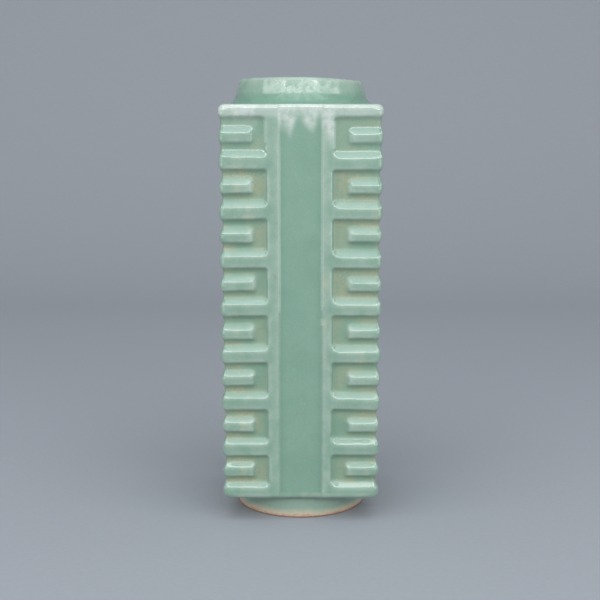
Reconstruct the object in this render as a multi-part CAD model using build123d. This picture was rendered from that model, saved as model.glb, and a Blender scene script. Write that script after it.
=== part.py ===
from build123d import *
import os

os.makedirs("parts", exist_ok=True)

# A square celadon vase of cong form, built from slabs, two thrown rings and applied strips of clay.
# Millimetres. The origin is on the ground under the middle of the foot, +Z is up and the front face
# looks towards -Y. The four faces and the four corners repeat by quarter turns about Z.

# Driving dimensions
total_height = 280.0
body_bottom = 15.2
body_top = 263.6
body_width = 101.0          # across the raised strips, the widest the vase gets
relief = 2.75               # how far ribs and bars stand out from the slabs
wall_thickness = 5.5
slab_corner_radius = 1.0    # outer vertical corners of the walls
edge_radius = 3.0           # top and bottom edges of the body

channel_half_width = 12.7   # plain strip up the middle of each face
rib_width = 7.6
rib_round = 1.0
short_bar_reach = 28.0      # how near the middle of a face a short bar comes

bar_face = 6.8              # flat face of a bar, from its underside up
bar_bevel = 4.0             # sloping top of a bar, above its face
bar_under_chamfer = 0.8
bar_count = 15              # short and long bars by turns, a short one first and last
first_underside = 254.7     # where the bars' spacing is counted down from
last_underside = 29.0       # underside of the lowest short bar
register_sag = 0.9          # the middle registers sit this much low
top_band_height = 7.5       # the plain band above the first bars

neck_bore_radius = 36.0
neck_foot_radius = 46.6     # where the cove meets the shoulder
neck_waist_radius = 42.3    # just above the cove
neck_waist_height = 5.4     # of the cove, above the shoulder
neck_cove_radius = 5.94
neck_lip_radius = 40.2      # where the lip's rounding starts
lip_round = 2.3

foot_outer_radius = 42.1
foot_top_radius = 41.4
foot_inner_radius = 36.6
foot_chamfer = 0.7
foot_upright = 2.8          # height up to which the foot's outside is upright

coil_leg = 6.0              # of the clay coils pressed into the inside seams

# Dimensions that follow from those
half_body = body_width / 2
half_slab = half_body - relief
half_inside = half_slab - wall_thickness
floor_height = body_bottom + wall_thickness
ceiling_height = body_top - wall_thickness
rib_middle = channel_half_width + rib_width / 2

face_names = ["front", "right", "back", "left"]
corner_names = ["front_left", "front_right", "back_right", "back_left"]
rib_names = [
    ("front_left_rib", "front_right_rib"),
    ("right_front_rib", "right_back_rib"),
    ("back_right_rib", "back_left_rib"),
    ("left_back_rib", "left_front_rib"),
]


def save(shape, node):
    shape.label = node
    export_step(shape, f"parts/{node}.step")


def save_group(shapes, node):
    save(Compound(children=shapes), node)


def quarter_turn(shape, quarter):
    return Rot(0, 0, 90 * quarter) * shape


def prism(outline, low, high):
    """A flat outline on the ground plane, raised to stand between two heights."""
    return Pos(0, 0, low) * extrude(outline, high - low)


def bar_underside(number):
    """Height of the underside of one bar. The highest bar is number 1."""
    pitch = (first_underside - last_underside) / bar_count
    sag = register_sag * 4 * number * (bar_count - number) / bar_count**2
    return first_underside - pitch * number - sag


def body_envelope():
    """The body's outer form, with rounded edges, which the ribs and end bands are trimmed to."""
    outline = RectangleRounded(body_width, body_width, relief + slab_corner_radius)
    block = prism(outline, body_bottom, body_top)
    ends = block.faces().sort_by(Axis.Z)
    return fillet(ends[0].edges() + ends[-1].edges(), edge_radius)


def front_wall():
    """One side slab. It is mitred to its neighbours at both ends."""
    outline = RectangleRounded(2 * half_slab, 2 * half_slab, slab_corner_radius)
    outline -= Rectangle(2 * half_inside, 2 * half_inside)
    mitres = make_face(Polyline((0, 0), (-half_body, -half_body), (half_body, -half_body), close=True))
    return prism(outline & mitres, floor_height, ceiling_height)


def shoulder_slab():
    """The square top of the body, with the round hole that the neck stands over."""
    outline = RectangleRounded(2 * half_slab, 2 * half_slab, slab_corner_radius)
    return prism(outline - Circle(neck_bore_radius), ceiling_height, body_top)


def base_slab():
    outline = RectangleRounded(2 * half_slab, 2 * half_slab, slab_corner_radius)
    return prism(outline, body_bottom, floor_height)


def neck_collar():
    """A thrown ring: a cove onto the shoulder, a wall that leans in slightly and a rounded lip."""
    waist = (neck_waist_radius, body_top + neck_waist_height)
    lip_start = (neck_lip_radius, total_height - lip_round)
    lip_inside = (neck_bore_radius, total_height - lip_round)
    lip_middle = ((neck_lip_radius + neck_bore_radius) / 2, total_height)
    with BuildSketch(Plane.XZ) as section:
        with BuildLine():
            Line((neck_bore_radius, body_top), (neck_foot_radius, body_top))
            RadiusArc((neck_foot_radius, body_top), waist, neck_cove_radius)
            Line(waist, lip_start)
            ThreePointArc(lip_start, lip_middle, lip_inside)
            Line(lip_inside, (neck_bore_radius, body_top))
        make_face()
    return revolve(section.sketch, Axis.Z)


def foot_ring():
    """A thrown ring under the base, chamfered where it was turned and left bare to stand on."""
    points = [
        (foot_inner_radius, body_bottom),
        (foot_top_radius, body_bottom),
        (foot_outer_radius, foot_upright),
        (foot_outer_radius, foot_chamfer),
        (foot_outer_radius - foot_chamfer, 0),
        (foot_inner_radius + foot_chamfer, 0),
        (foot_inner_radius, foot_chamfer),
    ]
    section = Plane.XZ * make_face(Polyline(*points, close=True))
    return revolve(section, Axis.Z)


def front_rib(side, envelope):
    """One upright strip beside the channel of the front face. side is -1 for left and 1 for right."""
    with BuildSketch() as outline:
        with Locations((side * rib_middle, -half_slab - relief / 2)):
            Rectangle(rib_width, relief)
        fillet(outline.vertices().group_by(Axis.Y)[0], rib_round)
    return prism(outline.sketch, body_bottom, body_top) & envelope


def corner_strip(section_points, reach, height):
    """A strip laid on the front wall, wrapped round the front left corner and along the left wall.

    section_points go outwards and up from the wall's surface. reach is how near the middle of each
    face the strip comes, and height is where its underside lies.
    """
    start = Plane(origin=(-reach, -half_slab, height), x_dir=(0, -1, 0), z_dir=(-1, 0, 0))
    section = start * make_face(Polyline(*section_points, close=True))
    corner = (-half_slab, -half_slab, height)
    path = FilletPolyline(
        (-reach, -half_slab, height), corner, (-half_slab, -reach, height), radius=slab_corner_radius
    )
    return sweep(section, path)


def bar_section():
    """A bar across its length: a short chamfer below, an upright face and a long bevel on top."""
    return [
        (0, 0),
        (relief - bar_under_chamfer, 0),
        (relief, bar_under_chamfer),
        (relief, bar_face),
        (0, bar_face + bar_bevel),
    ]


def band_section(height):
    return [(0, 0), (relief, 0), (relief, height), (0, height)]


def short_bars():
    """The bars that stand alone. Their ends are rounded where they face the rib."""
    bars = []
    for number in range(1, bar_count + 1, 2):
        bar = corner_strip(bar_section(), short_bar_reach, bar_underside(number))
        front_end = bar.faces().sort_by(Axis.X)[-1].edges().sort_by(Axis.Y)[0]
        left_end = bar.faces().sort_by(Axis.Y)[-1].edges().sort_by(Axis.X)[0]
        bars.append(fillet([front_end, left_end], rib_round))
    return bars


def long_bars(ribs):
    """The bars that run from a rib round the corner to the next rib."""
    return [
        corner_strip(bar_section(), rib_middle, bar_underside(number)) - ribs
        for number in range(2, bar_count, 2)
    ]


def end_bands(ribs, envelope):
    """The plain top and bottom bands of one corner. The bottom one carries a bevel like a bar's."""
    top = corner_strip(band_section(top_band_height), rib_middle, body_top - top_band_height)
    bottom = corner_strip(bar_section(), rib_middle, body_bottom)
    return [(top - ribs) & envelope, (bottom - ribs) & envelope]


def corner_coil():
    """A coil of clay pressed into the upright inside seam of the front left corner."""
    near = -half_inside
    far = -half_inside + coil_leg
    outline = make_face(Polyline((near, near), (far, near), (near, far), close=True))
    return prism(outline, floor_height, ceiling_height)


def seam_ring(floor, corner_coils):
    """A coil pressed all round the inside of the floor's seam, between the upright coils."""
    block = prism(Rectangle(2 * half_inside, 2 * half_inside), floor, floor + coil_leg)
    cavity = loft([
        Pos(0, 0, floor) * Rectangle(2 * (half_inside - coil_leg), 2 * (half_inside - coil_leg)),
        Pos(0, 0, floor + coil_leg) * Rectangle(2 * half_inside, 2 * half_inside),
    ])
    return block - cavity - corner_coils


# The four slabs, with their ribs and inside seams
envelope = body_envelope()
wall = front_wall()
left_rib = front_rib(-1, envelope)
right_rib = front_rib(1, envelope)
coil = corner_coil()
coils = []
for quarter, face in enumerate(face_names):
    save(quarter_turn(wall, quarter), f"{face}_wall")
    first_rib, second_rib = rib_names[quarter]
    save(quarter_turn(left_rib, quarter), first_rib)
    save(quarter_turn(right_rib, quarter), second_rib)
    coils.append(quarter_turn(coil, quarter))
    save(coils[quarter], f"{corner_names[quarter]}_seam_coil")

# The relief of one corner, repeated on the other three. Its strips stop at the ribs on both faces.
corner_ribs = [left_rib, quarter_turn(right_rib, 3)]
corner_relief = {
    "short_bars": short_bars(),
    "long_bars": long_bars(corner_ribs),
    "end_bands": end_bands(corner_ribs, envelope),
}
for quarter, corner in enumerate(corner_names):
    for name, strips in corner_relief.items():
        save_group([quarter_turn(strip, quarter) for strip in strips], f"{corner}_{name}")

# The closing slabs, the thrown rings and the two level seams inside
save(shoulder_slab(), "shoulder_slab")
save(base_slab(), "base_slab")
save(neck_collar(), "neck_collar")
save(foot_ring(), "foot_ring")
base_coil = seam_ring(floor_height, coils)
save(base_coil, "base_seam_coil")
middle_height = (floor_height + ceiling_height) / 2
save(mirror(base_coil, Plane.XY.offset(middle_height)), "shoulder_seam_coil")
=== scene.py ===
"""A celadon vase of cong form, in its studio setting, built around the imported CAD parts.

The glazed outside is worked out once as a single skin, a grid of rings and columns, and is then cut into
the vase's clay pieces, each a closed solid that takes the place of one CAD node. The skin's columns run
anticlockwise as seen from above, from the front left corner, a quarter to each face.
"""

import math

import bpy
import numpy as np
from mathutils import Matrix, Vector


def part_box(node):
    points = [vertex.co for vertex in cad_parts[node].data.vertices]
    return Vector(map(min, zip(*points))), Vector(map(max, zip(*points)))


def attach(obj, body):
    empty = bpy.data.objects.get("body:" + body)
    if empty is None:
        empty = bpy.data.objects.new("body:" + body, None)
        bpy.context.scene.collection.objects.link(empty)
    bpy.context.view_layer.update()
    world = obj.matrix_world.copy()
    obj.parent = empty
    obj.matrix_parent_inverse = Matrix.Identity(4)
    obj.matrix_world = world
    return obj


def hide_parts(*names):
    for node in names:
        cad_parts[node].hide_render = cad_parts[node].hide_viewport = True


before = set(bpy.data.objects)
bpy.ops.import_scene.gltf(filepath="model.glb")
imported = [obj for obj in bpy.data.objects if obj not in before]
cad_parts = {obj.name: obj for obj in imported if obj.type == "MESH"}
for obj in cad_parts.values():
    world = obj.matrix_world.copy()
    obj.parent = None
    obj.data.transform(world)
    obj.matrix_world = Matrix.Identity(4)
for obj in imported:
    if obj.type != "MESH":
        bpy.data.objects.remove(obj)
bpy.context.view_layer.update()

MM = 0.001
random = np.random.default_rng(11)

# ------------ the camera


def photo_camera():
    """Level with the shoulder, a little over seven tenths of a metre in front, tilted slightly down."""
    place = (-0.0005, -0.7236, 0.2498)
    degrees_below_level = 8.94
    camera = bpy.data.cameras.new("camera")
    camera.lens = 66.03
    camera.sensor_width = 36
    obj = bpy.data.objects.new("camera", camera)
    obj.location = place
    obj.rotation_euler = (math.radians(90 - degrees_below_level), 0, 0)
    bpy.context.scene.collection.objects.link(obj)
    bpy.context.scene.camera = obj


photo_camera()

# ------------ sizes, from the CAD model


def node_box(node):
    low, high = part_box(node)
    return np.array(low) / MM, np.array(high) / MM


slab_low, slab_high = node_box("shoulder_slab")
base_low, base_high = node_box("base_slab")
rib_low, rib_high = node_box("front_right_rib")
coil_low, coil_high = node_box("front_right_seam_coil")
collar_high = node_box("neck_collar")[1]
foot_high = node_box("foot_ring")[1]
band_high = node_box("front_right_end_bands")[1]
wall_high = node_box("front_wall")[1]

half_body = band_high[0]
half_slab = slab_high[0]
relief = half_body - half_slab
half_inside = -wall_high[1]
body_bottom = base_low[2]
body_top = slab_high[2]
floor_height = base_high[2]
ceiling_height = slab_low[2]
total_height = collar_high[2]
rib_inner = rib_low[0]
rib_outer = rib_high[0]
coil_leg = coil_high[0] - coil_low[0]
collar_foot_radius = collar_high[0]
foot_radius = foot_high[0]

# Sizes that the frame doesn't give, the same as in the CAD model
neck_bore_radius = 36.0
foot_inner_radius = 36.6
first_underside = 254.7         # where the bars' spacing is counted down from
last_underside = 29.0
register_sag = 0.9
bar_count = 15
bar_face = 6.8
top_band_height = 7.5
top_band_underside = body_top - top_band_height

# Shape of the clay under the glaze. Pairs are for the left and the right half of a face.
bar_bevel = 5.0
long_bar_face = (7.0, 6.1)
long_bar_bevel = (4.9, 5.7)
short_bar_face = (6.1, 5.5)
short_bar_bevel = (5.2, 5.0)
underside_slope = 0.9
short_bar_reach = 28.0
short_bar_end_slope = 3.4
short_bar_corner = 4.0          # radius of a short bar's upper inner corner
rib_slope = 1.5
rib_narrowing = (0.0, 1.3)
sill_corner = (3.6, 6.4)        # radius where a long bar's slope turns up into the rib
rib_crown = 0.10                # how far, as a share of the relief, a rib falls to its edges
channel_level = 0.9
roof_corner = 2.0               # radius under a long bar where it meets the rib
bar_foot_corner = 1.5
first_cell_ground = 0.30        # the first cells are shallower, with softer sides
first_cell_side_slope = 2.4
first_cell_roof_corner = 4.2
bar_face_lean = 0.30
glaze_room = 0.12               # the crests stop this far short of the body's full width
corner_radius = 1.3
body_lean = 0.9                 # each side comes in by this much from the body's top to its bottom
hand_waviness = 0.35            # of the inner surfaces, smoothed by hand

# How the glaze softens the clay: it fills the hollows and lies thick by the upright corners
crest_blur = 0.58
hollow_blur = 1.25
corner_blur = 1.6
wide_blur = 2.2
corner_thickness = 0.55
corner_share = 0.75
full_bend = 0.75                # this much above or below its surroundings, it is thinnest or deepest


def bar_underside(number):
    pitch = (first_underside - last_underside) / bar_count
    sag = register_sag * 4 * number * (bar_count - number) / bar_count**2
    return first_underside - pitch * number - sag


# ------------ small number helpers


def smoothstep(low, high, value):
    t = np.clip((value - low) / (high - low), 0, 1)
    return t * t * (3 - 2 * t)


def blur(field, sigma):
    """Gaussian blur of a grid whose cells are RASTER_STEP wide. The edges repeat outwards."""
    reach = int(math.ceil(3 * sigma / RASTER_STEP))
    taps = np.exp(-0.5 * (np.arange(-reach, reach + 1) * RASTER_STEP / sigma) ** 2)
    taps /= taps.sum()
    for axis in (0, 1):
        padding = [(reach, reach) if axis == a else (0, 0) for a in (0, 1)]
        padded = np.pad(field, padding, mode="edge")
        size = field.shape[axis]
        field = sum(
            tap * np.take(padded, np.arange(k, k + size), axis=axis) for k, tap in enumerate(taps)
        )
    return field


def value_noise(rows, columns, cell):
    """Smooth random hills between -1 and 1, about cell millimetres across, one value for each place."""
    row_cells = (rows - rows.min()) / cell
    column_cells = (columns - columns.min()) / cell
    heights = random.uniform(-1, 1, (int(row_cells.max()) + 2, int(column_cells.max()) + 2))
    r = row_cells.astype(int)
    c = column_cells.astype(int)
    fr = smoothstep(0, 1, row_cells - r)[:, None]
    fc = smoothstep(0, 1, column_cells - c)[None, :]
    low = heights[np.ix_(r, c)] * (1 - fc) + heights[np.ix_(r, c + 1)] * fc
    high = heights[np.ix_(r + 1, c)] * (1 - fc) + heights[np.ix_(r + 1, c + 1)] * fc
    return low * (1 - fr) + high * fr


# ------------ the relief of one face

RASTER_STEP = 0.25
CORNER_ARC = corner_radius * math.pi / 4
FLAT_HALF = half_slab - corner_radius
raster_u = np.arange(-(half_body + 3), half_body + 3 + RASTER_STEP, RASTER_STEP)
raster_z = np.arange(body_bottom - 3, body_top + 3 + RASTER_STEP, RASTER_STEP)


def hand_made_bars():
    """How far each bar of one corner strays, with its tilt and end for either face."""
    return {
        "lift": random.normal(0, 0.22, bar_count + 2),
        "tilt": random.normal(0, 0.010, (2, bar_count + 2)),
        "end": random.normal(0, 0.5, (2, bar_count + 2)),
        "height": 1 - np.abs(random.normal(0, 0.04, bar_count + 2)),
    }


def rounded_drop(across, down, across_slope, down_slope, radius):
    """How far a hollow has dropped, 0 to 1, near one of its corners.

    across and down are distances in from its two sides. The hollow's outline turns the corner on an arc.
    """
    drop = np.minimum(across / across_slope, down / down_slope)
    rest_across = radius - across
    rest_down = radius - down
    in_corner = (rest_across > 0) & (rest_down > 0)
    reach = np.hypot(rest_across, rest_down)
    share = rest_down**2 / np.maximum(reach, 1e-6) ** 2
    slope = down_slope * share + across_slope * (1 - share)
    return np.where(in_corner, np.minimum(drop, (radius - reach) / slope), drop)


def column_relief(distance, height, bars, side):
    """Height of the clay over one half of a face, 0 at the slab and 1 at the crests.

    distance runs from the face's middle and height up the vase, as a row and a column of places.
    """
    def stray(number):
        return bars["lift"][number] + bars["tilt"][side][number] * (distance - half_slab)

    clay = np.ones((height.size, distance.size))
    rib_edge = rib_outer - rib_narrowing[side]
    channel = smoothstep(rib_inner - 0.5, rib_inner + rib_slope, distance)
    rib_middle = (rib_inner + rib_edge) / 2
    crown = 1 - rib_crown * np.clip(np.abs(distance - rib_middle) / (rib_edge - rib_middle), 0, 1) ** 2
    upright = (channel_level / relief) * (1 - channel) + channel * crown
    clay = np.where(distance < rib_edge, upright, clay)

    for top_number in range(0, bar_count, 2):
        short_number = top_number + 1
        bottom_number = top_number + 2
        is_first = top_number == 0
        is_last = bottom_number > bar_count
        roof = top_band_underside if is_first else bar_underside(top_number)
        roof = roof + stray(top_number)
        if is_last:
            sill = body_bottom + bar_face + stray(bar_count + 1)
        else:
            sill = bar_underside(bottom_number) + long_bar_face[side] + stray(bottom_number)
        ground = first_cell_ground if is_first else 0.0
        side_slope = first_cell_side_slope if is_first else rib_slope
        corner = first_cell_roof_corner if is_first else roof_corner
        across = distance - rib_edge
        from_roof = roof - height
        from_sill = height - sill
        upper = rounded_drop(across, from_roof, side_slope, underside_slope, corner)
        lower = rounded_drop(across, from_sill, side_slope, long_bar_bevel[side], sill_corner[side])
        hollow = np.clip(np.minimum(upper, lower), 0, 1) * (1 - ground)
        clay = np.where(distance >= rib_edge, np.minimum(clay, 1 - hollow), clay)

        low = bar_underside(short_number) + stray(short_number)
        above = height - low
        below = low + short_bar_face[side] + short_bar_bevel[side] - height
        inwards = distance - short_bar_reach - bars["end"][side][short_number]
        foot = rounded_drop(inwards, above, short_bar_end_slope, underside_slope, bar_foot_corner)
        crown = rounded_drop(inwards, below, short_bar_end_slope, short_bar_bevel[side], short_bar_corner)
        rise = np.clip(np.minimum(foot, crown), 0, 1) * bars["height"][short_number]
        clay = np.maximum(clay, np.where(distance > rib_outer + 1, ground + rise * (1 - ground), 0))
    return clay


def lean_of_bars(height):
    """The faces of bars lean back a little below their crests. Returns the loss, 0 to 1."""
    loss = np.zeros_like(height)
    for number in range(bar_count + 1):
        low = bar_underside(number)
        inside = (height >= low) & (height <= low + bar_face)
        loss = np.where(inside, 1 - (height - low) / bar_face, loss)
    return loss


def face_relief(left_bars, right_bars):
    """The height of one face over its slab in millimetres, on the raster, with maps for its glaze."""
    height = raster_z[:, None]
    distance = np.abs(raster_u)[None, :]
    left = column_relief(distance, height, left_bars, 0)
    right = column_relief(distance, height, right_bars, 1)
    clay = np.where(raster_u[None, :] < 0, left, right) * relief
    on_bars = (distance > rib_outer) * clay / relief
    clay = clay - bar_face_lean * lean_of_bars(height) * on_bars
    broad = 0.16 * value_noise(raster_z, raster_u, 17)
    fine = 0.07 * value_noise(raster_z, raster_u, 6)
    clay = clay + (broad + fine) * smoothstep(half_slab, half_slab - 9, distance) - glaze_room

    sharp = blur(clay, crest_blur)
    soft = blur(clay, hollow_blur)
    glazed = 0.5 * (sharp + soft + np.sqrt((sharp - soft) ** 2 + 0.02))
    near_corner = corner_share * smoothstep(half_slab - 5, half_slab + 0.5, distance)
    glazed = glazed * (1 - near_corner) + (blur(clay, corner_blur) + corner_thickness) * near_corner
    bend = (sharp - blur(clay, wide_blur)) / full_bend
    maps = {
        "thin": np.clip(bend, 0, 1),
        "pool": np.clip(-bend, 0, 1),
        "high": np.clip(sharp / relief, 0, 1),
        "cell": (distance > rib_outer) * np.ones_like(clay),
    }
    return np.minimum(glazed, relief), maps


# ------------ the skin's columns


def spread(start, end, step):
    """Evenly spaced places from start up to, but not including, end."""
    count = max(1, int(round((end - start) / step)))
    return np.linspace(start, end, count, endpoint=False)


half_columns = np.concatenate([
    spread(0, rib_inner - 2.2, 1.5),
    spread(rib_inner - 2.2, rib_outer + 3.0, 0.55),
    spread(rib_outer + 3.0, short_bar_reach - 1.5, 0.9),
    spread(short_bar_reach - 1.5, short_bar_reach + 5.5, 0.6),
    spread(short_bar_reach + 5.5, FLAT_HALF, 1.1),
    FLAT_HALF + CORNER_ARC * np.linspace(0, 1, 7),
])
# One face's columns, from its left corner's diagonal up to just before its right one's
face_u = np.concatenate([-half_columns[::-1], half_columns[1:-1]])
FACE_COLUMNS = face_u.size
COLUMNS = 4 * FACE_COLUMNS


def quarter_turns(count):
    """A matrix that turns points, as rows of x and y, by this many quarters anticlockwise."""
    angle = count * math.pi / 2
    return np.array([[math.cos(angle), math.sin(angle)], [-math.sin(angle), math.cos(angle)]])


def column_frame(half_width):
    """Base points and outward directions of all columns, on a rounded square of this half width."""
    flat = half_width - corner_radius
    stretch = flat / FLAT_HALF
    turn = np.clip((np.abs(face_u) - FLAT_HALF) / CORNER_ARC, 0, 1) * math.pi / 4
    sign = np.sign(face_u)
    along = np.clip(face_u, -FLAT_HALF, FLAT_HALF) * stretch
    normal = np.stack([sign * np.sin(turn), -np.cos(turn)], axis=1)
    centre = np.stack([along, np.full_like(along, -flat)], axis=1)
    point = centre + corner_radius * normal
    points = [point @ quarter_turns(quarter) for quarter in range(4)]
    normals = [normal @ quarter_turns(quarter) for quarter in range(4)]
    return np.concatenate(points), np.concatenate(normals)


def half_slab_at(height):
    """Half the slab's width at a height: the body narrows, ever more, towards its foot."""
    share = np.clip((height - body_bottom) / (body_top - body_bottom), 0, 1)
    return half_slab - body_lean * (1 - share) ** 2


# ------------ the skin's rings

LEAST_STRIP = 0.4               # least thickness of a strip, from the glaze to the slab's surface
edge_rise = 4.2                 # height of the rounding at the body's top and bottom, at its corners
face_edge_rise = 0.62           # the share of that height that is left along the faces
edge_corner_zone = 7
least_inset = 1.2
corner_inset = 0.45             # how much further in, as a share, the rounding goes at the corners
side_rows = np.arange(body_bottom + edge_rise, body_top - edge_rise, 0.6)
side_rows = np.append(side_rows, body_top - edge_rise)

faces_bars = [hand_made_bars() for corner in range(4)]


def on_skin(field):
    """One face's raster, read at the side's rings and the face's columns."""
    rows = np.concatenate([[body_bottom], side_rows, [body_top]])
    across = np.array([np.interp(face_u, raster_u, line) for line in field])
    return np.array([np.interp(rows, raster_z, line) for line in across.T]).T


side_height = []
side_maps = []
for face in range(4):
    face_height, maps = face_relief(faces_bars[face], faces_bars[(face + 1) % 4])
    side_height.append(on_skin(face_height))
    side_maps.append({name: on_skin(field) for name, field in maps.items()})
side_height = np.concatenate(side_height, axis=1)
side_maps = {name: np.concatenate([m[name] for m in side_maps], axis=1) for name in side_maps[0]}


class Ring:
    """One closed line of the skin: its points, the slab's surface behind them and its glaze."""

    def __init__(self, points, behind, thin=0.0, pool=0.0, high=0.0, cell=0.0):
        self.points = points
        self.behind = behind
        self.glaze = [np.broadcast_to(v, COLUMNS) for v in (thin, pool, high, cell)]


def with_height(flat_points, height):
    height = np.broadcast_to(height, len(flat_points))
    return np.concatenate([flat_points, height[:, None]], axis=1)


def round_ring(radius, height, **glaze):
    points, _ = column_frame(half_slab)
    directions = points / np.linalg.norm(points, axis=1, keepdims=True)
    place = with_height(directions * radius, height)
    return Ring(place, place, **glaze)


def body_ring(half_width, raised, height, **glaze):
    """A ring of the body's outside. The slab's hidden surface is LEAST_STRIP or more behind it."""
    points, normals = column_frame(half_width)
    behind = np.minimum(0, raised - LEAST_STRIP)
    outside = with_height(points + normals * raised[:, None], height)
    hidden = with_height(points + normals * behind[:, None], height)
    return Ring(outside, hidden, **glaze)


def side_ring(row):
    glaze = {name: values[row + 1] for name, values in side_maps.items()}
    return body_ring(half_slab_at(side_rows[row]), side_height[row + 1], side_rows[row], **glaze)


def edge_ring(turn, is_top):
    """A ring of the rounded top or bottom edge. turn runs from 0, upright, to 1, level."""
    row = -2 if is_top else 1
    raised = side_height[row]
    roundness = np.tile(smoothstep(half_slab - edge_corner_zone, half_slab, np.abs(face_u)), 4)
    rise = edge_rise * (face_edge_rise + (1 - face_edge_rise) * roundness)
    upright = edge_rise - rise
    straight_share = upright / (upright + rise)
    angle = np.clip((turn - straight_share) / (1 - straight_share), 0, 1) * math.pi / 2
    climb = np.minimum(turn * edge_rise, upright) + rise * np.sin(angle)
    inset = np.maximum(least_inset, raised) * (1 + corner_inset * roundness) * (1 - np.cos(angle))
    edge = body_top if is_top else body_bottom
    direction = 1 if is_top else -1
    height = edge - direction * (edge_rise - climb)
    thin = (0.35 + 0.65 * math.sin(turn * math.pi)) * (1.0 if is_top else 0.5)
    return body_ring(half_slab_at(edge), raised - inset, height, thin=thin, high=raised / relief)


def blend_ring(outer, inner, share, **glaze):
    place = outer.points * (1 - share) + inner.points * share
    return Ring(place, place, **glaze)


def profile_rings(*stretches):
    """Round rings along a profile of stretches, each of which starts where the last one ended.

    A stretch is a curve, its number of rings and a function for their glaze. A curve gives the radius
    and height for a share from 0 to 1.
    """
    rings = []
    for curve, count, glaze in stretches:
        shares = np.linspace(0, 1, count)
        if rings:
            shares = shares[1:]
        rings += [round_ring(*curve(share), **glaze(share)) for share in shares]
    return rings


def bezier(*points):
    """A Bezier curve through its first and last point, as a function of a share from 0 to 1."""
    points = np.array(points, float)
    order = len(points) - 1

    def curve(share):
        weights = [math.comb(order, k) * share**k * (1 - share) ** (order - k) for k in range(order + 1)]
        return tuple(np.array(weights) @ points)
    return curve


def quarter_arc(start, end, level_first):
    """A quarter of an ellipse between two (radius, height) points, level at its start or at its end."""
    def curve(share):
        angle = share * math.pi / 2
        level = math.sin(angle) if level_first else 1 - math.cos(angle)
        climb = 1 - math.cos(angle) if level_first else math.sin(angle)
        return start[0] + (end[0] - start[0]) * level, start[1] + (end[1] - start[1]) * climb
    return curve


def plain(share):
    return {}


# Profile of the foot: from the middle of the base, round the ring and out to the base's edge
base_recess = 2.2
foot_round = 0.5
foot_cove = 2.0
recess_edge = (foot_inner_radius - base_recess, body_bottom)
recess_wall = (foot_inner_radius, body_bottom - base_recess)
inner_rim = (foot_inner_radius, foot_round)
inner_sole = (foot_inner_radius + foot_round, 0)
outer_sole = (foot_radius - foot_round, 0)
outer_rim = (foot_radius, foot_round)
foot_swell = (foot_radius + 0.05, 5)
foot_cove_start = (foot_radius - 0.7, body_bottom - foot_cove)
foot_cove_end = (foot_cove_start[0] + foot_cove, body_bottom)
base_disc = [round_ring(radius, body_bottom) for radius in (1.0, 8, 16, 24, 30, recess_edge[0])]
foot_rings = profile_rings(
    (quarter_arc(recess_edge, recess_wall, True), 7, plain),
    (bezier(recess_wall, inner_rim), 6, plain),
    (quarter_arc(inner_rim, inner_sole, False), 5, plain),
    (bezier(inner_sole, outer_sole), 5, plain),
    (quarter_arc(outer_sole, outer_rim, True), 6, plain),
    (bezier(outer_rim, foot_swell, foot_cove_start), 16, plain),
    (quarter_arc(foot_cove_start, foot_cove_end, False), 7, lambda share: {"pool": 0.8}),
)

# The base's underside, the sides and the shoulder
EDGE_TURNS = np.linspace(0, 1, 9)
BLEND_SHARES = (0.25, 0.5, 0.75)
bottom_edge = [edge_ring(turn, False) for turn in EDGE_TURNS[:0:-1]]
sides = [side_ring(row) for row in range(side_rows.size)]
top_edge = [edge_ring(turn, True) for turn in EDGE_TURNS[1:]]
underside = [blend_ring(foot_rings[-1], bottom_edge[0], share, pool=0.3) for share in BLEND_SHARES]
neck_foot = round_ring(collar_foot_radius, body_top)
shoulder = [blend_ring(top_edge[-1], neck_foot, share, thin=0.4 * (1 - share)) for share in BLEND_SHARES]

# Profile of the neck: cove, leaning wall, rounded lip and bore
waist = (42.0, body_top + 6.0)
cove_foot = (collar_foot_radius, body_top)
cove_out = (waist[0] + 3.0, body_top + 1.2)
cove_up = (waist[0] + 0.9, waist[1] - 2.4)
wall_bulge = (41.05, waist[1] + 4.0)
lip_start = (40.2, total_height - 2.3)
lip_top = ((lip_start[0] + neck_bore_radius) / 2, total_height)
lip_inside = (neck_bore_radius, lip_start[1])
bore_top = (neck_bore_radius, body_top)
bore_bottom = (neck_bore_radius, ceiling_height)
neck_rings = profile_rings(
    (bezier(cove_foot, cove_out, cove_up, waist), 14,
     lambda share: {"pool": 0.5 * math.sin(math.pi * min(1, share + 0.1))}),
    (bezier(waist, wall_bulge, lip_start), 10, lambda share: {"thin": 0.9 * share**4}),
    (quarter_arc(lip_start, lip_top, False), 9, lambda share: {"thin": 0.9, "high": 1}),
    (quarter_arc(lip_top, lip_inside, True), 9, lambda share: {"thin": 1 - share, "high": 1 - share}),
    (bezier(lip_inside, bore_top), 7, plain),
)
bore_rings = profile_rings((bezier(bore_top, bore_bottom), 4, plain))[1:]

sections = [
    base_disc, foot_rings[1:], underside, bottom_edge, sides + top_edge, shoulder, neck_rings, bore_rings,
]
(first_foot, first_underside_ring, first_bottom_edge, first_side, first_shoulder,
 first_neck, first_bore) = np.cumsum([len(section) for section in sections[:-1]]).tolist()
skin = sum(sections, [])
places = np.array([ring.points for ring in skin])
behinds = np.array([ring.behind for ring in skin])
glazes = np.array([np.stack(ring.glaze, axis=1) for ring in skin])

rim_dip = 1.3


def warp_rim(points):
    """The rim settled in the kiln: it dips to the right, more the higher it stands."""
    share = smoothstep(body_top, total_height, points[..., 2])
    dip = rim_dip * smoothstep(0, lip_start[0], points[..., 0]) * share
    points[..., 2] -= np.where(points[..., 2] > body_top, dip, 0)
    return points


places = warp_rim(places)


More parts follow.
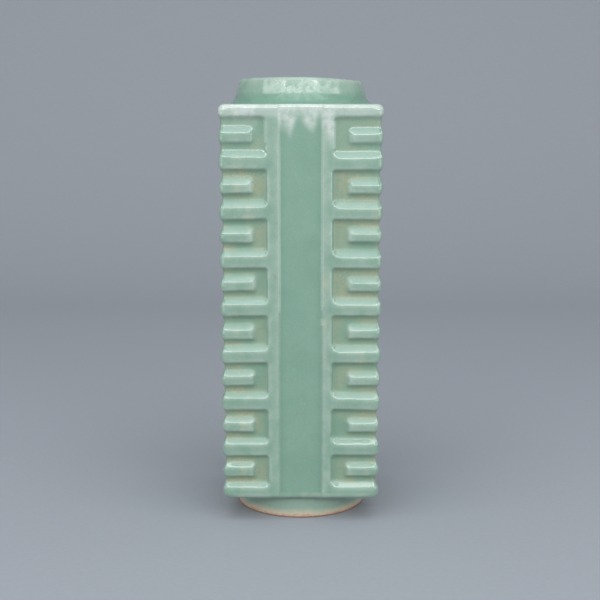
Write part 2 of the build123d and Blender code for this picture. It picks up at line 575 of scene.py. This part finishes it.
def skin_normals(points):
    around = np.roll(points, -1, axis=1) - np.roll(points, 1, axis=1)
    along = np.empty_like(points)
    along[1:-1] = points[2:] - points[:-2]
    along[0] = points[1] - points[0]
    along[-1] = points[-1] - points[-2]
    normal = np.cross(around, along)
    return normal / np.maximum(np.linalg.norm(normal, axis=2, keepdims=True), 1e-9)


normals = skin_normals(places)

# ------------ which piece each patch belongs to

patch_u = np.tile((face_u + np.append(face_u[1:], -face_u[0])) / 2, 4)
patch_face = np.repeat(np.arange(4), FACE_COLUMNS)
patch_corner = np.where(patch_u < 0, patch_face, (patch_face + 1) % 4)
patch_distance = np.abs(patch_u)

face_names = ["front", "right", "back", "left"]
corner_names = ["front_left", "front_right", "back_right", "back_left"]
SEAM_MARGIN = 0.5


def strip_patches():
    """For each patch of the body's side and edges, the strip it belongs to, or an empty name."""
    body_heights = places[first_bottom_edge:first_shoulder, :, 2]
    heights = (body_heights[:-1] + body_heights[1:]) / 2
    owner = np.full(heights.shape, "", dtype=object)
    on_rib = (patch_distance > rib_inner - SEAM_MARGIN) & (patch_distance < rib_outer)
    on_bars = patch_distance > rib_outer
    for number in range(bar_count + 2):
        if number == 0:
            low, high, kind = top_band_underside, body_top + 1, "end_bands"
        elif number == bar_count + 1:
            low, high, kind = body_bottom - 1, body_bottom + bar_face + bar_bevel, "end_bands"
        else:
            low = bar_underside(number)
            high = low + bar_face + bar_bevel
            kind = "long_bars" if number % 2 == 0 else "short_bars"
        reach = rib_outer if kind != "short_bars" else short_bar_reach - SEAM_MARGIN
        inside = (heights > low - SEAM_MARGIN) & (heights < high) & on_bars & (patch_distance > reach)
        for corner, name in enumerate(corner_names):
            owner[inside & (patch_corner == corner)] = f"{name}_{kind}"
    for face, name in enumerate(face_names):
        for side in (-1, 1):
            neighbour = face_names[(face + side) % 4]
            here = on_rib & (patch_face == face) & (np.sign(patch_u) == side)
            owner[np.broadcast_to(here, heights.shape)] = f"{name}_{neighbour}_rib"
    return owner


strip_owner = strip_patches()


def covered_points():
    """Skin points with a strip on all sides, where the slab behind is hidden."""
    covered = np.zeros(places.shape[:2], bool)
    is_strip = strip_owner != ""
    both = is_strip & np.roll(is_strip, 1, axis=1)
    covered[first_bottom_edge + 1:first_bottom_edge + len(both)] = both[1:] & both[:-1]
    return covered


covered = covered_points()

# ------------ meshes

KEEP_FLAT = (0.0, 0.0, 0.0)     # a zero custom normal leaves a flat face's own


class Piece:
    """The points and faces of one closed piece, collected in millimetres."""

    def __init__(self):
        self.points = []
        self.glaze = []
        self.faces = []
        self.corner_normals = []
        self.smooth = []
        self.index = {}

    def add(self, key, place, glaze):
        """The number of the point with this key, made if it isn't there yet."""
        if key not in self.index:
            self.index[key] = len(self.points)
            self.points.append(place)
            self.glaze.append(glaze)
        return self.index[key]

    def face(self, corners, corner_normals=None):
        """A face, less any repeated corner. Without normals given, it is flat."""
        kept = [k for k, c in enumerate(corners) if c != corners[k - 1]]
        if len(kept) < 3:
            return
        loop = [corners[k] for k in kept]
        self.faces.append(loop)
        self.smooth.append(corner_normals is not None)
        if corner_normals is None:
            self.corner_normals.extend([KEEP_FLAT] * len(loop))
        else:
            self.corner_normals.extend([corner_normals[k] for k in kept])

    def finish(self, node, material):
        """Makes the mesh, in metres, which rides on the vase's one body and replaces a CAD node."""
        name = f"{node}_glazed"
        mesh = bpy.data.meshes.new(name)
        mesh.from_pydata((np.array(self.points) * MM).tolist(), [], self.faces)
        attribute = mesh.attributes.new("glaze", "FLOAT_COLOR", "POINT")
        attribute.data.foreach_set("color", np.array(self.glaze, dtype=np.float32).ravel())
        mesh.polygons.foreach_set("use_smooth", self.smooth)
        mesh.materials.append(material)
        mesh.normals_split_custom_set(self.corner_normals)
        obj = bpy.data.objects.new(name, mesh)
        bpy.context.scene.collection.objects.link(obj)
        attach(obj, "root")
        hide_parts(node)


def add_skin(piece, row, column, glazed=True):
    """A point of the skin or, where strips cover it and glazed is False, of the slab's surface behind."""
    column %= COLUMNS
    hidden = covered[row, column] and not glazed
    key = ("slab" if hidden else "skin", row, column)
    place = behinds[row, column] if hidden else places[row, column]
    return piece.add(key, place, glazes[row, column])


def slab_row(piece, row, columns=range(COLUMNS)):
    """The slabs' own points along one of the skin's rows."""
    return [add_skin(piece, row, column, glazed=False) for column in columns]


def patch_corners(row, column):
    return [(row, column), (row, column + 1), (row + 1, column + 1), (row + 1, column)]


def patch_normals(ring):
    return [tuple(normals[row, column % COLUMNS]) for row, column in ring]


def strip_piece(name, material):
    """One node's strips: the glazed skin in front, the slab's surface behind and walls between."""
    piece = Piece()
    rows, columns = np.nonzero(strip_owner == name)
    owned = set(zip(rows.tolist(), columns.tolist()))
    for patch_row, column in owned:
        ring = patch_corners(patch_row + first_bottom_edge, column)
        front = [add_skin(piece, r, c) for r, c in ring]
        back = [add_skin(piece, r, c, glazed=False) for r, c in ring]
        piece.face(front, patch_normals(ring))
        piece.face(back[::-1])
        beside = [
            (patch_row - 1, column), (patch_row, column + 1),
            (patch_row + 1, column), (patch_row, column - 1),
        ]
        for k, (r, c) in enumerate(beside):
            if (r, c % COLUMNS) not in owned:
                after = (k + 1) % 4
                piece.face([front[after], front[k], back[k], back[after]])
    piece.finish(name, material)


def slab_patches(piece, rows, columns=range(COLUMNS)):
    """The outer surface of a slab: glazed where it shows, bare where strips cover it."""
    for row in rows:
        for column in columns:
            ring = patch_corners(row, column)
            corners = [add_skin(piece, r, c, glazed=False) for r, c in ring]
            patch_row = row - first_bottom_edge
            is_body = 0 <= patch_row < len(strip_owner)
            hidden = is_body and strip_owner[patch_row, column % COLUMNS] != ""
            piece.face(corners, None if hidden else patch_normals(ring))


def ring_of_points(piece, key, points):
    """Adds a loop of inside points, with no glaze pooled on them, and returns their numbers."""
    return [piece.add((key, k), place, NO_GLAZE) for k, place in enumerate(points)]


def join_rings(piece, first, second):
    """Flat faces between two loops of the same number of points."""
    for k in range(len(first)):
        after = (k + 1) % len(first)
        piece.face([first[k], first[after], second[after], second[k]])


NO_GLAZE = np.zeros(4)
INSIDE_COLUMNS = 22
INSIDE_ROWS = 50
FLOOR_SHARES = (1, 0.9, 0.7, 0.5, 0.3, 0.1, 0.01)   # sizes of the loops that make up the vase's floor
floor_row = first_side + int(np.argmin(np.abs(side_rows - floor_height)))
ceiling_row = first_side + int(np.argmin(np.abs(side_rows - ceiling_height)))


def wall_piece(face, material):
    """A side slab, mitred at both ends, with a slightly uneven inner surface."""
    piece = Piece()
    columns = range(face * FACE_COLUMNS, (face + 1) * FACE_COLUMNS)
    slab_patches(piece, range(floor_row, ceiling_row), columns)
    low = places[floor_row, 0, 2]
    high = places[ceiling_row, 0, 2]
    across = np.linspace(-half_inside, half_inside, INSIDE_COLUMNS)
    up = np.linspace(low, high, INSIDE_ROWS)
    wave = hand_waviness * value_noise(up, across, 20)
    wave[[0, -1]] = 0
    wave[:, [0, -1]] = 0
    inner = np.empty((up.size, across.size), int)
    for r, height in enumerate(up):
        flat = np.stack([across, wave[r] - half_inside], axis=1) @ quarter_turns(face)
        for c, (x, y) in enumerate(flat):
            inner[r, c] = piece.add(("inner", r, c), np.array((x, y, height)), NO_GLAZE)
    for r in range(up.size - 1):
        for c in range(across.size - 1):
            piece.face([inner[r, c], inner[r + 1, c], inner[r + 1, c + 1], inner[r, c + 1]])
    first = columns[0]
    last = columns[-1] + 1
    rows = range(floor_row, ceiling_row + 1)
    top = slab_row(piece, ceiling_row, range(first, last + 1))
    bottom = slab_row(piece, floor_row, range(first, last + 1))
    left = [add_skin(piece, r, first, glazed=False) for r in rows]
    right = [add_skin(piece, r, last, glazed=False) for r in rows]
    piece.face(top + inner[-1, ::-1].tolist())
    piece.face(bottom[::-1] + inner[0].tolist())
    piece.face(left + inner[::-1, 0].tolist())
    piece.face(right[::-1] + inner[:, -1].tolist())
    piece.finish(f"{face_names[face]}_wall", material)


def shoulder_piece(material):
    """The top slab: its edge and top outside, the hole's wall and its underside inside."""
    piece = Piece()
    slab_patches(piece, range(ceiling_row, first_neck))
    slab_patches(piece, range(first_bore - 1, len(skin) - 1))
    join_rings(piece, slab_row(piece, first_neck), slab_row(piece, first_bore - 1))
    join_rings(piece, slab_row(piece, len(skin) - 1), slab_row(piece, ceiling_row))
    piece.finish("shoulder_slab", material)


def base_piece(material):
    """The floor slab: its underside and edge outside and the vase's floor inside."""
    piece = Piece()
    slab_patches(piece, range(0, first_foot - 1))
    slab_patches(piece, range(first_underside_ring - 1, floor_row))
    piece.face(slab_row(piece, 0)[::-1])
    join_rings(piece, slab_row(piece, first_foot - 1), slab_row(piece, first_underside_ring - 1))
    below = slab_row(piece, floor_row)
    outline, _ = column_frame(half_slab)
    for k, share in enumerate(FLOOR_SHARES):
        loop = with_height(outline * share * half_inside / half_slab, floor_height)
        inner = ring_of_points(piece, f"floor {k}", loop)
        join_rings(piece, below, inner)
        below = inner
    piece.face(below)
    piece.finish("base_slab", material)


def turned_piece(name, first_row, last_row, material):
    """A thrown ring: the skin's rows from first to last, closed by the flat face that is luted down."""
    piece = Piece()
    slab_patches(piece, range(first_row, last_row))
    join_rings(piece, slab_row(piece, last_row), slab_row(piece, first_row))
    piece.finish(name, material)


COIL_STEPS = 9
COIL_ROWS = 60
CORNER_STEPS = 8


def coil_curve():
    """Points of a coil's pressed surface: how far off one slab and off the other, as a hollow quarter."""
    angles = np.linspace(0, math.pi / 2, COIL_STEPS)
    return coil_leg * (1 - np.cos(angles)), coil_leg * (1 - np.sin(angles))


def corner_coil_piece(corner, material):
    """An upright inside seam's coil, smoothed with a finger into a hollow quarter round."""
    piece = Piece()
    off_one, off_other = coil_curve()
    heights = np.linspace(floor_height, ceiling_height, COIL_ROWS)
    press = hand_waviness * value_noise(heights, np.arange(COIL_STEPS, dtype=float), 14)
    press[:, [0, -1]] = 0
    loops = []
    for r, height in enumerate(heights):
        one = -half_inside + off_one + press[r]
        other = -half_inside + off_other + press[r]
        section = np.stack([np.append(one, -half_inside), np.append(other, -half_inside)], axis=1)
        points = with_height(section @ quarter_turns(corner), height)
        loops.append(ring_of_points(piece, f"coil {r}", points))
    for lower, upper in zip(loops, loops[1:]):
        join_rings(piece, upper, lower)
    piece.face(loops[0])
    piece.face(loops[-1][::-1])
    piece.finish(f"{corner_names[corner]}_seam_coil", material)


def level_coil_piece(name, slab_height, upwards, material):
    """The coil all round the seam of the floor or, turned over, of the shoulder."""
    piece = Piece()
    off_wall, off_slab = coil_curve()
    corner_middle = half_inside - coil_leg
    loops = []
    for k, (inset, rise) in enumerate(zip(np.append(off_wall, 0), np.append(off_slab, 0))):
        points = []
        for quarter in range(4):
            diagonal = (quarter - 0.5) * math.pi / 2
            centre_x = corner_middle * math.sqrt(2) * math.cos(diagonal)
            centre_y = corner_middle * math.sqrt(2) * math.sin(diagonal)
            for step in range(CORNER_STEPS + 1):
                angle = (quarter - 1 + step / CORNER_STEPS) * math.pi / 2
                points.append((
                    centre_x + (coil_leg - inset) * math.cos(angle),
                    centre_y + (coil_leg - inset) * math.sin(angle),
                    slab_height + upwards * rise,
                ))
        loops.append(ring_of_points(piece, f"ring {k}", np.array(points)))
    if upwards < 0:
        loops.reverse()
    for loop, after in zip(loops, loops[1:] + loops[:1]):
        join_rings(piece, loop, after)
    piece.finish(name, material)


# ------------ materials


def srgb(red, green, blue):
    """A linear colour from its usual 0 to 255 values."""
    channels = []
    for value in (red, green, blue):
        value /= 255
        channels.append(value / 12.92 if value <= 0.04045 else ((value + 0.055) / 1.055) ** 2.4)
    return (*channels, 1.0)


class Shader:
    """A material's node tree, built by short calls that each return an output socket."""

    def __init__(self, name):
        self.material = bpy.data.materials.new(name)
        self.material.use_nodes = True
        self.tree = self.material.node_tree
        self.surface = self.tree.nodes["Principled BSDF"]
        self.place = self.make("ShaderNodeTexCoord", {}).outputs["Object"]
        self.dull = None            # where the glaze has lost its gloss, for finish_glaze()

    def feed(self, socket, value):
        if isinstance(value, bpy.types.NodeSocket):
            self.tree.links.new(value, socket)
        else:
            socket.default_value = value

    def set(self, name, value):
        """Sets one of the surface's own inputs to a value, or links it to a socket."""
        self.feed(self.surface.inputs[name], value)

    def make(self, kind, inputs, **settings):
        node = self.tree.nodes.new(kind)
        for key, value in settings.items():
            setattr(node, key, value)
        for key, value in inputs.items():
            self.feed(node.inputs[key], value)
        return node

    def noise(self, size, detail=2.0, roughness=0.5, stretch=None):
        """Noise whose hills are about size millimetres across."""
        place = self.place
        if stretch:
            place = self.make("ShaderNodeMapping", {"Vector": place, "Scale": stretch}).outputs["Vector"]
        inputs = {"Vector": place, "Scale": 1 / (size * MM), "Detail": detail, "Roughness": roughness}
        return self.make("ShaderNodeTexNoise", inputs).outputs["Fac"]

    def cracks(self, size):
        """Distance to the nearest crack of a net whose meshes are about size millimetres across."""
        wobble = self.make("ShaderNodeTexNoise", {"Vector": self.place, "Scale": 0.6 / (size * MM)})
        reach = (0.8 * size * MM,) * 3
        inputs = {0: wobble.outputs["Color"], 1: reach, 2: self.place}
        wobbly = self.make("ShaderNodeVectorMath", inputs, operation="MULTIPLY_ADD")
        inputs = {"Vector": wobbly.outputs["Vector"], "Scale": 1 / (size * MM)}
        net = self.make("ShaderNodeTexVoronoi", inputs, feature="DISTANCE_TO_EDGE")
        return net.outputs["Distance"]

    def math(self, operation, *values, clamp=False):
        node = self.make("ShaderNodeMath", dict(enumerate(values)), operation=operation, use_clamp=clamp)
        return node.outputs["Value"]

    def times(self, first, second):
        return self.math("MULTIPLY", first, second)

    def line(self, value, slope, offset):
        return self.math("MULTIPLY_ADD", value, slope, offset)

    def step(self, value, low, high):
        """0 below low, 1 above high and smooth between. low may be the larger, which turns it round."""
        inputs = {"Value": value, "From Min": low, "From Max": high}
        return self.make("ShaderNodeMapRange", inputs, interpolation_type="SMOOTHSTEP").outputs["Result"]

    def mix(self, share, first, second):
        return self.make("ShaderNodeMix", {0: share, 6: first, 7: second}, data_type="RGBA").outputs[2]

    def glaze_maps(self):
        """The thin, pool, high and cell values that the skin's rings carry."""
        node = self.make("ShaderNodeAttribute", {}, attribute_name="glaze")
        split = self.make("ShaderNodeSeparateColor", {"Color": node.outputs["Color"]})
        return [*split.outputs, node.outputs["Alpha"]]

    def axes(self):
        return self.make("ShaderNodeSeparateXYZ", {"Vector": self.place}).outputs

    def bump(self, height, strength, distance):
        inputs = {"Height": height, "Strength": strength, "Distance": distance * MM}
        return self.make("ShaderNodeBump", inputs).outputs["Normal"]


GLAZE_MID = srgb(115, 151, 132)
GLAZE_DEEP = srgb(98, 139, 118)
GLAZE_PALE = srgb(152, 173, 158)
GLAZE_WHITE = srgb(200, 207, 200)
PATINA = srgb(145, 155, 128)
TAN = srgb(168, 152, 116)
WORN_EDGE = srgb(190, 182, 150)
CRACK = srgb(120, 128, 100)
BARE_CLAY = srgb(178, 138, 118)
PALE_CLAY = srgb(196, 180, 156)
BURNT_EDGE = srgb(120, 80, 62)
PAPER_DARK = srgb(146, 150, 156)
PAPER_LIGHT = srgb(154, 157, 162)


def glaze_colour(shader):
    """Celadon: deep where it pools, pale where it thins or wears, mottled, and stained in the hollows."""
    thin, pool, high, cell = shader.glaze_maps()
    clouds = shader.step(shader.noise(24, 3.0), 0.35, 0.75)
    colour = shader.mix(shader.times(clouds, 0.35), GLAZE_MID, GLAZE_DEEP)
    colour = shader.mix(shader.times(pool, 0.7), colour, GLAZE_DEEP)
    paleness = shader.line(high, 0.35, thin)
    patchy = shader.math("MULTIPLY", paleness, shader.step(shader.noise(9, 4.0), 0.0, 0.75), clamp=True)
    colour = shader.mix(patchy, colour, GLAZE_PALE)
    low_ground = shader.times(cell, shader.step(high, 0.5, 0.05))
    cloudy = shader.step(shader.noise(15, 3.0), 0.35, 0.65)
    speckle = shader.step(shader.noise(1.3, 3.0, 0.6), 0.42, 0.60)
    veil = shader.times(low_ground, shader.line(cloudy, 0.40, 0.15))
    colour = shader.mix(veil, colour, PATINA)
    shader.dull = shader.times(cell, shader.step(high, 0.45, 0.08))
    stained_cells = shader.step(shader.noise(30, 1.0), 0.46, 0.60)
    spots = shader.times(shader.times(speckle, stained_cells), low_ground)
    colour = shader.mix(shader.times(spots, 0.42), colour, TAN)
    worn = shader.step(shader.noise(16, 3.0, 0.6, stretch=(1, 1, 0.35)), 0.56, 0.70)
    colour = shader.mix(shader.times(shader.times(worn, thin), 0.6), colour, WORN_EDGE)
    freckles = shader.step(shader.noise(1.1, 2.0, 0.6), 0.55, 0.70)
    colour = shader.mix(shader.times(freckles, 0.18), colour, GLAZE_PALE)
    return colour


def crackle(shader):
    """A faint net of cracks at two sizes, 1 along the cracks."""
    coarse = shader.step(shader.cracks(5.5), 0.035, 0.0)
    fine = shader.step(shader.cracks(2.4), 0.05, 0.0)
    return shader.math("MAXIMUM", coarse, shader.times(fine, 0.6))


def finish_glaze(shader, colour, roughness_floor=0.09, waviness=2.0, coat=1.0):
    """A coloured, slightly soft body under a clear glossy coat: crackled, uneven and dull in places."""
    cracks = crackle(shader)
    colour = shader.mix(shader.times(cracks, 0.22), colour, CRACK)
    ripple = shader.noise(4.5, 3.0)
    surface = shader.math("SUBTRACT", ripple, shader.times(cracks, 0.25))
    surface = shader.line(shader.noise(11, 2.0), waviness, surface)
    normal = shader.bump(surface, 0.5, 0.16)
    gloss = shader.step(shader.noise(14, 4.0, 0.6), 0.3, 0.8)
    roughness = shader.line(gloss, 0.14, roughness_floor)
    shader.set("Coat Weight", coat)
    if shader.dull is not None:
        roughness = shader.line(shader.dull, 0.25, roughness)
        shader.set("Coat Weight", shader.line(shader.dull, -0.8 * coat, coat))
    shader.set("Base Color", colour)
    shader.set("Roughness", roughness)
    shader.set("Normal", normal)
    shader.set("IOR", 1.5)
    shader.set("Coat Roughness", 0.04)
    shader.set("Coat IOR", 1.5)
    return shader.material


def body_glaze():
    """The glaze on the body, with whitish runs below its top edge and a whitened top band, partly painted
    highlight.
    """
    shader = Shader("body_glaze")
    colour = glaze_colour(shader)
    z = shader.axes()[2]
    run_length = shader.noise(10, 1.0, 0.4, stretch=(1, 1, 0.22))
    run_end = shader.line(run_length, -62 * MM, (body_top + 17) * MM)
    runs = shader.step(z, run_end, shader.math("ADD", run_end, 17 * MM))
    broken = shader.times(runs, shader.step(shader.noise(4, 3.0), 0.0, 0.65))
    on_band = shader.step(z, (top_band_underside - 2) * MM, (top_band_underside + 2) * MM)
    on_top = shader.step(z, (body_top - 1.0) * MM, body_top * MM)
    cell = shader.glaze_maps()[3]
    below_band = shader.times(cell, shader.math("SUBTRACT", 1.0, on_band))
    share = shader.line(below_band, -0.65, 0.78)
    share = shader.line(on_top, -0.3, share)
    white = shader.times(broken, share)
    # The top band is whitened by 0.42: whiter, thinner glaze there, lifted further as painted highlight.
    white = shader.math("MAXIMUM", white, shader.times(on_band, 0.42))
    colour = shader.mix(white, colour, GLAZE_WHITE)
    return finish_glaze(shader, colour)


def neck_glaze():
    """The glaze on the collar, worn to a soft mottle, deeper where it pools in the cove, and darkened low
    in the cove with painted shade.
    """
    shader = Shader("neck_glaze")
    colour = glaze_colour(shader)
    worn = shader.step(shader.noise(5, 5.0, 0.7), 0.42, 0.62)
    colour = shader.mix(shader.line(worn, 0.195, 0.35), colour, GLAZE_PALE)
    # Painted shade: the lowest part of the neck, in the cove, is mixed towards the deep glaze colour.
    hollow = shader.step(shader.axes()[2], (body_top + 9) * MM, (body_top + 4) * MM)
    colour = shader.mix(shader.times(hollow, 0.8), colour, GLAZE_DEEP)
    shader.dull = shader.step(shader.noise(6, 4.0, 0.6), 0.46, 0.60)
    return finish_glaze(shader, colour, 0.12, waviness=7.0, coat=0.6)


def inner_glaze():
    """The thinner glaze inside the vase."""
    shader = Shader("inner_glaze")
    clouds = shader.step(shader.noise(18, 4.0), 0.3, 0.7)
    colour = shader.mix(clouds, GLAZE_PALE, GLAZE_MID)
    return finish_glaze(shader, colour, 0.2)


def foot_glaze():
    """Glaze that thins to cream and stops just above the foot's bare rim, whose edge is burnt brown."""
    shader = Shader("foot_glaze")
    # The whole foot is mixed over halfway to the pale glaze: painted light standing in for light from the
    # floor, as well as thinner glaze.
    colour = shader.mix(0.55, glaze_colour(shader), GLAZE_PALE)
    x, _, z = shader.axes()
    slant = shader.times(x, -0.012)
    line = shader.math("ADD", shader.line(shader.noise(12, 3.0), 3.5 * MM, 0.2 * MM), slant)
    thinning = shader.step(z, shader.math("ADD", line, 4.5 * MM), line)
    colour = shader.mix(shader.times(thinning, 0.85), colour, PALE_CLAY)
    bare = shader.step(z, shader.math("ADD", line, 0.6 * MM), shader.math("SUBTRACT", line, 0.4 * MM))
    grit = shader.step(shader.noise(2.5, 5.0, 0.7), 0.35, 0.7)
    clay = shader.mix(grit, BARE_CLAY, PALE_CLAY)
    burnt = shader.step(z, 1.4 * MM, 0.4 * MM)
    clay = shader.mix(shader.times(burnt, 0.85), clay, BURNT_EDGE)
    colour = shader.mix(bare, colour, clay)
    finish_glaze(shader, colour)
    shader.set("Roughness", shader.line(bare, 0.6, 0.12))
    shader.set("Coat Weight", shader.math("SUBTRACT", 1.0, bare))
    return shader.material


# ------------ the vase's pieces

body = body_glaze()
inner = inner_glaze()
for face in range(4):
    wall_piece(face, body)
for name in sorted(set(strip_owner.ravel()) - {""}):
    strip_piece(name, body)
shoulder_piece(body)
base_piece(body)
turned_piece("neck_collar", first_neck, first_bore - 1, neck_glaze())
turned_piece("foot_ring", first_foot - 1, first_underside_ring - 1, foot_glaze())
for corner in range(4):
    corner_coil_piece(corner, inner)
level_coil_piece("base_seam_coil", floor_height, 1, inner)
level_coil_piece("shoulder_seam_coil", ceiling_height, -1, inner)

# ------------ the studio


VASE_MIDDLE = Vector((0, 0, 0.15))
WINDOW_LIGHT = (1.0, 0.99, 0.98)
HAZE_LIGHT = (0.88, 0.95, 1.0)
SKY_LIGHT = (0.86, 0.95, 1.0)
CARD_LIGHT = (1.0, 1.0, 1.0)
AMBIENT_LIGHT = (0.82, 0.85, 0.90, 1)


def studio_floor():
    """A plain pale sweep: a floor that turns up into a backdrop on a wide curve."""
    front = -1.6
    back = 1.5
    side = 3.0
    rise = 2.6
    bend = 0.7
    profile = [(front, 0.0)]
    for angle in np.linspace(0, math.pi / 2, 17).tolist():
        profile.append((back - bend + bend * math.sin(angle), bend * (1 - math.cos(angle))))
    profile.append((back, rise))
    points = [(x, y, z) for y, z in profile for x in (-side, side)]
    faces = [(2 * k, 2 * k + 1, 2 * k + 3, 2 * k + 2) for k in range(len(profile) - 1)]
    mesh = bpy.data.meshes.new("sweep")
    mesh.from_pydata(points, [], faces)
    mesh.polygons.foreach_set("use_smooth", [True] * len(faces))
    shader = Shader("sweep_paper")
    shader.set("Base Color", shader.mix(shader.noise(3, 3.0), PAPER_DARK, PAPER_LIGHT))
    shader.set("Roughness", 0.75)
    mesh.materials.append(shader.material)
    obj = bpy.data.objects.new("sweep", mesh)
    bpy.context.scene.collection.objects.link(obj)


def softbox(name, place, width, height, power, colour):
    """An area light that faces the vase's middle."""
    light = bpy.data.lights.new(name, "AREA")
    light.shape = "RECTANGLE"
    light.size = width
    light.size_y = height
    light.energy = power
    light.color = colour
    obj = bpy.data.objects.new(name, light)
    obj.location = place
    obj.rotation_euler = (VASE_MIDDLE - Vector(place)).to_track_quat("-Z", "Y").to_euler()
    bpy.context.scene.collection.objects.link(obj)


def studio_light():
    """A broad window in front, cooler panels above it, and a low card at either side."""
    softbox("front_window", (0, -2.5, 1.42), 3.6, 0.42, 21, WINDOW_LIGHT)
    softbox("left_wing", (-1.92, -1.60, 1.35), 2.2, 0.42, 10, WINDOW_LIGHT)
    softbox("right_wing", (1.92, -1.60, 1.35), 2.4, 0.42, 11, WINDOW_LIGHT)
    softbox("haze_panel", (0, -1.2, 1.10), 1.8, 0.42, 3.6, HAZE_LIGHT)
    softbox("sky_panel", (0, -0.66, 1.56), 1.8, 1.1, 11, SKY_LIGHT)
    softbox("left_card", (-0.62, -0.40, 0.14), 0.4, 0.26, 0.45, CARD_LIGHT)
    softbox("right_card", (0.62, -0.40, 0.14), 0.4, 0.26, 0.5, CARD_LIGHT)
    world = bpy.data.worlds.new("studio")
    world.use_nodes = True
    background = world.node_tree.nodes["Background"]
    background.inputs["Color"].default_value = AMBIENT_LIGHT
    background.inputs["Strength"].default_value = 0.73
    bpy.context.scene.world = world


studio_floor()
studio_light()
bpy.context.scene.view_settings.view_transform = "Standard"
